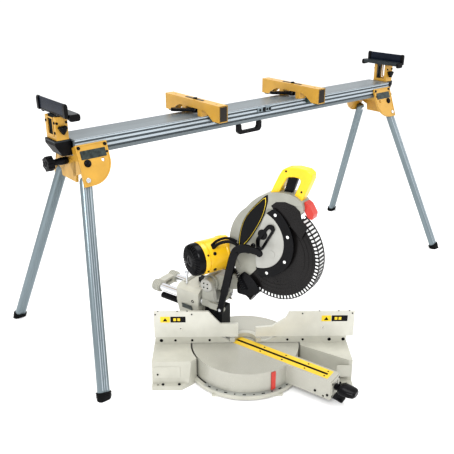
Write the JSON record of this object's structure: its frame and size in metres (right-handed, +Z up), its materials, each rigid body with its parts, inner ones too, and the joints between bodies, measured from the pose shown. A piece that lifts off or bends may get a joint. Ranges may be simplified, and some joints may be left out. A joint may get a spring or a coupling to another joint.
{
  "type": "mitre saw on stand",
  "caption": "Sliding compound mitre saw with a round guard, cream base and split fence, with a folding beam stand that has clamp brackets and end work supports.",
  "frame": {"origin": "on the floor, under the middle of the whole footprint of stand and saw", "axes": "+X along the stand's beam to its right end, +Y to the back, away from the saw, +Z up"},
  "size_m": [1.9664, 1.2955, 0.943],
  "materials": {
    "beam_aluminium": "satin",
    "leg_aluminium": "satin",
    "stand_yellow": "satin",
    "saw_yellow": "gloss",
    "black_plastic": "satin",
    "black_rubber": "matt",
    "dark_steel": "satin",
    "bright_steel": "polished",
    "chrome": "polished",
    "cream_casting": "satin",
    "fence_casting": "satin",
    "grey_top": "satin",
    "smoked_guard": "gloss",
    "red_plastic": "gloss",
    "scale_plate": "brushed"
  },
  "bodies": {
    "stand_frame": {"beam": "beam_aluminium", "left_housing": "stand_yellow", "right_housing": "stand_yellow", "housing_bolts": "dark_steel", "leg_pins": "bright_steel", "carry_handle": "black_plastic"},
    "front_left_leg_body": {"front_left_leg": "leg_aluminium", "front_left_foot": "black_rubber"},
    "rear_left_leg_body": {"rear_left_leg": "leg_aluminium", "rear_left_foot": "black_rubber"},
    "front_right_leg_body": {"front_right_leg": "leg_aluminium", "front_right_foot": "black_rubber"},
    "rear_right_leg_body": {"rear_right_leg": "leg_aluminium", "rear_right_foot": "black_rubber"},
    "left_extension_body": {"left_extension": "black_plastic", "left_yoke": "stand_yellow"},
    "left_support_body": {"left_support_top": "grey_top"},
    "left_stop_body": {"left_stop_plate": "dark_steel"},
    "left_height_knob_body": {"left_height_knob": "black_plastic"},
    "left_extension_knob_body": {"left_extension_knob": "black_plastic"},
    "right_extension_body": {"right_extension": "black_plastic", "right_yoke": "stand_yellow"},
    "right_support_body": {"right_support_top": "grey_top"},
    "right_stop_body": {"right_stop_plate": "dark_steel"},
    "right_height_knob_body": {"right_height_knob": "black_plastic"},
    "right_extension_knob_body": {"right_extension_knob": "black_plastic"},
    "left_bracket_body": {"left_bracket": "stand_yellow"},
    "left_lever_body": {"left_bracket_lever": "black_plastic"},
    "right_bracket_body": {"right_bracket": "stand_yellow"},
    "right_lever_body": {"right_bracket_lever": "black_plastic"},
    "saw_base_body": {"saw_base": "cream_casting", "mitre_scale": "scale_plate", "lower_fence": "cream_casting"},
    "left_fence_body": {"left_sliding_fence": "fence_casting"},
    "right_fence_body": {"right_sliding_fence": "fence_casting"},
    "turntable_body": {"turntable": "cream_casting", "kerf_plates": "saw_yellow", "mitre_pointer": "red_plastic", "bevel_quadrant": "stand_yellow", "bevel_pin": "bright_steel"},
    "lock_handle_body": {"mitre_lock_handle": "black_plastic"},
    "detent_lever_body": {"detent_lever": "black_plastic"},
    "bevel_arm_body": {"bevel_column": "dark_steel", "carriage": "cream_casting"},
    "slide_knob_body": {"slide_lock_knob": "black_plastic"},
    "depth_rod_body": {"depth_rod": "bright_steel"},
    "slide_frame_body": {"slide_rails": "chrome", "rail_end_cap": "cream_casting", "pivot_bracket": "cream_casting", "chop_pin": "bright_steel"},
    "head_body": {"head_casting": "cream_casting", "arbor_cover": "fence_casting", "motor_body": "saw_yellow", "motor_cap": "black_plastic", "top_handle": "saw_yellow"},
    "guard_link_body": {"guard_link": "dark_steel"},
    "lower_guard_body": {"lower_guard": "smoked_guard"},
    "blade_body": {"blade": "bright_steel", "arbor_bolt": "bright_steel"},
    "trigger_body": {"trigger": "black_plastic"}
  },
  "joints": [
    {"name": "front_left_leg_fold", "type": "hinge", "parent": "stand_frame", "child": "front_left_leg_body", "pos_m": [-0.823, 0.173, 0.681], "axis": [0, -0.9317, 0.3633], "range_deg": [0, 12]},
    {"name": "rear_left_leg_fold", "type": "hinge", "parent": "stand_frame", "child": "rear_left_leg_body", "pos_m": [-0.823, 0.389, 0.681], "axis": [0, -0.9317, -0.3633], "range_deg": [0, 100]},
    {"name": "front_right_leg_fold", "type": "hinge", "parent": "stand_frame", "child": "front_right_leg_body", "pos_m": [0.823, 0.173, 0.681], "axis": [0, 0.9317, -0.3633], "range_deg": [0, 100]},
    {"name": "rear_right_leg_fold", "type": "hinge", "parent": "stand_frame", "child": "rear_right_leg_body", "pos_m": [0.823, 0.389, 0.681], "axis": [0, 0.9317, 0.3633], "range_deg": [0, 100]},
    {"name": "left_extension_slide", "type": "slide", "parent": "stand_frame", "child": "left_extension_body", "axis": [-1, 0, 0], "range_m": [0, 0.38]},
    {"name": "left_support_height", "type": "slide", "parent": "left_extension_body", "child": "left_support_body", "axis": [0, 0, 1], "range_m": [0, 0.05]},
    {"name": "left_stop_flip", "type": "hinge", "parent": "left_support_body", "child": "left_stop_body", "pos_m": [-0.876, 0.281, 0.901], "axis": [0, -1, 0], "range_deg": [0, 110]},
    {"name": "left_height_knob_turn", "type": "hinge", "parent": "left_extension_body", "child": "left_height_knob_body", "pos_m": [-0.866, 0.236, 0.85], "axis": [0, -1, 0], "range_deg": [-180, 180]},
    {"name": "left_extension_knob_turn", "type": "hinge", "parent": "stand_frame", "child": "left_extension_knob_body", "pos_m": [-0.86, 0.281, 0.731], "axis": [-1, 0, 0], "range_deg": [-180, 180]},
    {"name": "right_extension_slide", "type": "slide", "parent": "stand_frame", "child": "right_extension_body", "axis": [1, 0, 0], "range_m": [0, 0.38]},
    {"name": "right_support_height", "type": "slide", "parent": "right_extension_body", "child": "right_support_body", "axis": [0, 0, 1], "range_m": [0, 0.05]},
    {"name": "right_stop_flip", "type": "hinge", "parent": "right_support_body", "child": "right_stop_body", "pos_m": [0.876, 0.281, 0.901], "axis": [0, 1, 0], "range_deg": [0, 110]},
    {"name": "right_height_knob_turn", "type": "hinge", "parent": "right_extension_body", "child": "right_height_knob_body", "pos_m": [0.866, 0.236, 0.85], "axis": [0, -1, 0], "range_deg": [-180, 180]},
    {"name": "right_extension_knob_turn", "type": "hinge", "parent": "stand_frame", "child": "right_extension_knob_body", "pos_m": [0.86, 0.281, 0.731], "axis": [1, 0, 0], "range_deg": [-180, 180]},
    {"name": "left_bracket_slide", "type": "slide", "parent": "stand_frame", "child": "left_bracket_body", "axis": [1, 0, 0], "range_m": [-0.38, 0.2]},
    {"name": "left_bracket_clamp", "type": "hinge", "parent": "left_bracket_body", "child": "left_lever_body", "pos_m": [-0.289, 0.281, 0.828], "axis": [0, 0, 1], "range_deg": [0, 90]},
    {"name": "right_bracket_slide", "type": "slide", "parent": "stand_frame", "child": "right_bracket_body", "axis": [1, 0, 0], "range_m": [-0.2, 0.42]},
    {"name": "right_bracket_clamp", "type": "hinge", "parent": "right_bracket_body", "child": "right_lever_body", "pos_m": [0.239, 0.281, 0.828], "axis": [0, 0, 1], "range_deg": [0, 90]},
    {"name": "saw_lift", "type": "slide", "parent": "stand_frame", "child": "saw_base_body", "axis": [0, -0.8, 0.6], "range_m": [0, 0.8]},
    {"name": "left_fence_slide", "type": "slide", "parent": "saw_base_body", "child": "left_fence_body", "axis": [-0.7804, 0.6252, 0], "range_m": [0, 0.09]},
    {"name": "right_fence_slide", "type": "slide", "parent": "saw_base_body", "child": "right_fence_body", "axis": [0.7804, -0.6252, 0], "range_m": [0, 0.09]},
    {"name": "mitre", "type": "hinge", "parent": "saw_base_body", "child": "turntable_body", "pos_m": [-0.467, -0.229, 0.05], "axis": [0, 0, 1], "range_deg": [-104, 2]},
    {"name": "mitre_lock", "type": "hinge", "parent": "turntable_body", "child": "lock_handle_body", "pos_m": [-0.36673, -0.59553, 0.062], "axis": [0.2639, -0.9646, 0], "range_deg": [0, 60]},
    {"name": "mitre_detent", "type": "hinge", "parent": "turntable_body", "child": "detent_lever_body", "pos_m": [-0.37992, -0.5473, 0.03], "axis": [-0.9646, -0.2639, 0], "range_deg": [0, 8]},
    {"name": "bevel", "type": "hinge", "parent": "turntable_body", "child": "bevel_arm_body", "pos_m": [-0.49339, -0.13254, 0.097], "axis": [-0.2639, 0.9646, 0], "range_deg": [-3, 45]},
    {"name": "slide_lock", "type": "hinge", "parent": "bevel_arm_body", "child": "slide_knob_body", "pos_m": [-0.50916, -0.04459, 0.27], "axis": [0, 0, 1], "range_deg": [-180, 180]},
    {"name": "depth_rod_travel", "type": "slide", "parent": "bevel_arm_body", "child": "depth_rod_body", "axis": [0, 0, 1], "range_m": [0, 0.03]},
    {"name": "rail_slide", "type": "slide", "parent": "bevel_arm_body", "child": "slide_frame_body", "axis": [0.2639, -0.9646, 0], "range_m": [0, 0.085]},
    {"name": "chop", "type": "hinge", "parent": "slide_frame_body", "child": "head_body", "pos_m": [-0.49998, -0.10843, 0.318], "axis": [-0.9646, -0.2639, 0], "range_deg": [-50, 0], "stiffness_Nm_per_rad": 40, "springref_deg": 68.75},
    {"name": "guard_link_swing", "type": "hinge", "parent": "slide_frame_body", "child": "guard_link_body", "pos_m": [-0.54842, -0.18907, 0.246], "axis": [-0.9646, -0.2639, 0], "range_deg": [-50, 0]},
    {"name": "lower_guard_turn", "type": "hinge", "parent": "head_body", "child": "lower_guard_body", "pos_m": [-0.43586, -0.34282, 0.492], "axis": [-0.9646, -0.2639, 0], "range_deg": [0, 158]},
    {"name": "blade_spin", "type": "hinge", "parent": "head_body", "child": "blade_body", "pos_m": [-0.43586, -0.34282, 0.492], "axis": [0.9646, 0.2639, 0], "continuous": true},
    {"name": "trigger_pull", "type": "slide", "parent": "head_body", "child": "trigger_body", "axis": [0.2639, -0.9646, 0], "range_m": [0, 0.006], "stiffness_N_per_m": 200, "springref_m": -0.002}
  ],
  "couplings": [
    {"joint": "lower_guard_turn", "follows": "chop", "ratio": -3.16},
    {"joint": "guard_link_swing", "follows": "chop", "ratio": 1}
  ]
}
